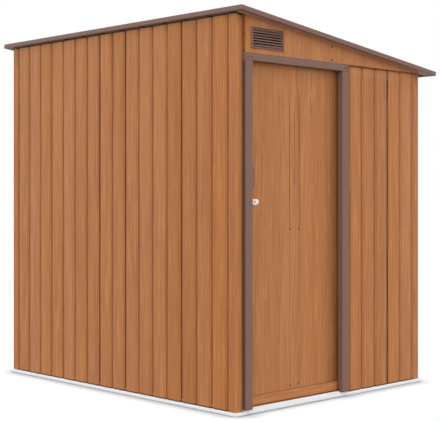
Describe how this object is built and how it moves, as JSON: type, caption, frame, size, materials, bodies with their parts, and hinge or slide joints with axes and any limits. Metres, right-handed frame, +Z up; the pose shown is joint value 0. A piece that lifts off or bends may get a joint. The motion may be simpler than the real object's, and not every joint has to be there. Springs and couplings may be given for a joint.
{
  "type": "metal garden shed",
  "caption": "Walk-in steel garden shed with grooved wood-grain walls, a single-pitch roof and a sliding door in a brown frame.",
  "frame": {"origin": "on the ground under the centre of the roof", "axes": "+X from the tall wall to the low wall along the door side, +Y from the door side to the back, +Z up"},
  "size_m": [1.5152, 1.95, 1.8965],
  "materials": {
    "wood_print": "satin printed wood grain on thin sheet steel, with fine vertical grain and short dark streaks",
    "brown_trim": "satin grey-brown powder coat",
    "brown_roof": "satin grey-brown powder coat on ribbed roof sheet",
    "base_white": "white coated galvanised steel",
    "zinc_steel": "dull galvanised steel",
    "black_nylon": "matt black nylon"
  },
  "bodies": {
    "shed": {"base_front": "base_white", "base_back": "base_white", "base_left": "base_white", "base_right": "base_white", "wall_cleats": "base_white", "door_sill": "base_white", "lower_track": "base_white", "corner_front_left": "wood_print", "corner_front_right": "wood_print", "corner_back_left": "wood_print", "corner_back_right": "wood_print", "left_wall_front": "wood_print", "left_wall_middle": "wood_print", "left_wall_back": "wood_print", "right_wall_front": "wood_print", "right_wall_middle": "wood_print", "right_wall_back": "wood_print", "back_wall_left": "wood_print", "back_wall_right": "wood_print", "front_wall": "wood_print", "front_gable": "wood_print", "back_gable": "wood_print", "gable_trims": "brown_trim", "gable_vents": "brown_trim", "jamb_left": "brown_trim", "jamb_right": "brown_trim", "door_head": "brown_trim", "high_trim_front": "brown_trim", "high_trim_back": "brown_trim", "low_trim": "brown_trim", "front_trim": "brown_trim", "back_trim": "brown_trim", "roof_sheet_front": "brown_roof", "roof_sheet_middle": "brown_roof", "roof_sheet_back": "brown_roof", "upper_track": "zinc_steel", "track_sides": "zinc_steel", "mid_rails": "zinc_steel", "top_rails": "zinc_steel", "roof_beams": "zinc_steel", "lock_keeper": "zinc_steel"},
    "door": {"door_leaf": "wood_print", "door_top_rail": "wood_print", "door_foot_rail": "wood_print", "door_stiffener": "zinc_steel", "door_handle": "brown_trim", "door_hasp": "zinc_steel", "door_guides": "black_nylon"}
  },
  "joints": [
    {"name": "door_slide", "type": "slide", "parent": "shed", "child": "door", "axis": [1, 0, 0], "range_m": [0, 0.6]}
  ]
}
